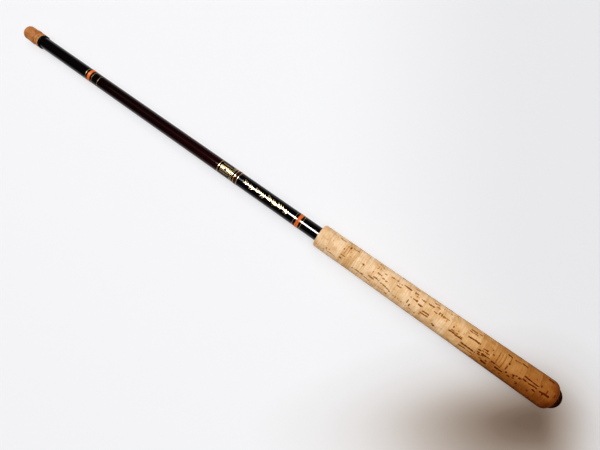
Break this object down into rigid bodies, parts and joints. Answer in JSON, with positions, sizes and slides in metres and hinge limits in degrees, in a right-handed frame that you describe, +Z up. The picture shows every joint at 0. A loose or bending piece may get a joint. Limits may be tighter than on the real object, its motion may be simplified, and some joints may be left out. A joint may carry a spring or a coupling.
{
  "type": "keiryu rod",
  "caption": "Telescopic mountain-stream fishing rod with nested tubes, a cork ring grip, a screw cap and a mouth plug.",
  "frame": {"origin": "bottom centre of the box of the closed rod, on the surface that its cork grip lies on", "axes": "+X along the rod towards its tip, +Z up, the rod's axis 14.08 mm above the surface"},
  "size_m": [0.6716, 0.0282, 0.0282],
  "materials": {
    "lacquered_tube": "black and dark maroon lacquer under a deep gloss coat",
    "mouth_ring_black": "black, soft gloss",
    "cork": "sanded natural cork, handled, with dark pits and streaks",
    "brass": "turned",
    "cap_lacquer": "very dark reddish brown gloss",
    "soft_rubber": "matte black",
    "inner_tube": "dark gloss lacquer over wound fibre",
    "whipping": "red thread under clear lacquer",
    "plug_wood": "orange-brown turned wood under clear lacquer"
  },
  "bodies": {
    "handle": {"butt_tube": "lacquered_tube", "mouth_ring": "mouth_ring_black", "cork_ring_01": "cork", "cork_ring_02": "cork", "cork_ring_03": "cork", "cork_ring_04": "cork", "cork_ring_05": "cork", "cork_ring_06": "cork", "cork_ring_07": "cork", "cork_ring_08": "cork", "cork_ring_09": "cork", "cork_ring_10": "cork", "cork_ring_11": "cork", "cork_ring_12": "cork", "cork_ring_13": "cork", "cork_ring_14": "cork", "cork_ring_15": "cork", "cork_ring_16": "cork", "cork_ring_17": "cork", "butt_ferrule": "brass"},
    "seal": {"cap_seal": "soft_rubber"},
    "cap": {"butt_cap": "cap_lacquer", "cap_cushion": "soft_rubber"},
    "section_2": {"section_2_tube": "inner_tube", "section_2_whipping": "whipping"},
    "section_3": {"section_3_tube": "inner_tube", "section_3_whipping": "whipping"},
    "section_4": {"section_4_tube": "inner_tube", "section_4_whipping": "whipping"},
    "section_5": {"section_5_tube": "inner_tube", "section_5_whipping": "whipping"},
    "section_6": {"section_6_tube": "inner_tube", "section_6_whipping": "whipping"},
    "tip": {"tip_section": "inner_tube", "tip_socket": "brass"},
    "plug": {"mouth_plug": "plug_wood", "plug_sleeve": "soft_rubber"}
  },
  "joints": [
    {"name": "cap_travel", "type": "slide", "parent": "handle", "child": "seal", "axis": [-1, 0, 0], "range_m": [0, 0.0091]},
    {"name": "cap_turn", "type": "hinge", "parent": "seal", "child": "cap", "pos_m": [-0.3284, 0, 0.01408], "axis": [-1, 0, 0], "range_deg": [0, 1800]},
    {"name": "section_2_draw", "type": "slide", "parent": "handle", "child": "section_2", "axis": [1, 0, 0], "range_m": [0, 0.5722]},
    {"name": "section_3_draw", "type": "slide", "parent": "section_2", "child": "section_3", "axis": [1, 0, 0], "range_m": [0, 0.5432]},
    {"name": "section_4_draw", "type": "slide", "parent": "section_3", "child": "section_4", "axis": [1, 0, 0], "range_m": [0, 0.5512]},
    {"name": "section_5_draw", "type": "slide", "parent": "section_4", "child": "section_5", "axis": [1, 0, 0], "range_m": [0, 0.5592]},
    {"name": "section_6_draw", "type": "slide", "parent": "section_5", "child": "section_6", "axis": [1, 0, 0], "range_m": [0, 0.5652]},
    {"name": "tip_draw", "type": "slide", "parent": "section_6", "child": "tip", "axis": [1, 0, 0], "range_m": [0, 0.5697]},
    {"name": "plug_pull", "type": "slide", "parent": "tip", "child": "plug", "axis": [1, 0, 0], "range_m": [0, 0.06]}
  ],
  "couplings": [
    {"joint": "cap_travel", "follows": "cap_turn", "m_per_rad": 0.00028648}
  ]
}
